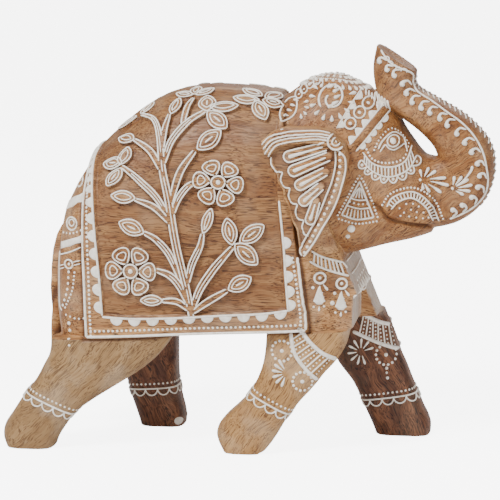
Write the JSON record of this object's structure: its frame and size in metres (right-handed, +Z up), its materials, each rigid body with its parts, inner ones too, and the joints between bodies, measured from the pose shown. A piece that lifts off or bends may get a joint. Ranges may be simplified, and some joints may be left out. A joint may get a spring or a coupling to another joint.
{
  "type": "carved wooden elephant figurine",
  "caption": "Free-standing walking elephant with raised trunk, carved from glued blocks of wood, with a floral relief blanket and white painted beading",
  "frame": {"origin": "on the floor, under the centre of the outside sizes", "axes": "+X towards the head, +Y to the elephant's left, +Z up; the elephant stands on its four soles"},
  "size_m": [0.2658, 0.097, 0.2203],
  "materials": {
    "body_wood": "satin waxed mango wood with a faint white wash, grain along the body",
    "head_wood": "satin waxed orange-brown mango wood, grain along the head and trunk",
    "light_leg_wood": "satin waxed pale mango wood, grain along the leg",
    "grey_leg_wood": "satin waxed grey-brown mango wood, grain along the leg",
    "dark_leg_wood": "satin waxed dark heartwood, grain along the leg",
    "dowel_wood": "plain turned hardwood",
    "white_paint": "raised beads of matt off-white acrylic paint"
  },
  "bodies": {
    "root": {"back_board": "body_wood", "flank_board": "body_wood", "belly_board": "body_wood", "head_block": "head_wood", "right_ear": "body_wood", "left_ear": "body_wood", "tail": "body_wood", "right_fore_leg": "light_leg_wood", "left_fore_leg": "dark_leg_wood", "right_hind_leg": "grey_leg_wood", "left_hind_leg": "dark_leg_wood", "right_fore_dowel": "dowel_wood", "left_fore_dowel": "dowel_wood", "right_hind_dowel": "dowel_wood", "left_hind_dowel": "dowel_wood", "neck_dowel_upper": "dowel_wood", "neck_dowel_lower": "dowel_wood", "tail_peg": "dowel_wood"}
  },
  "joints": []
}
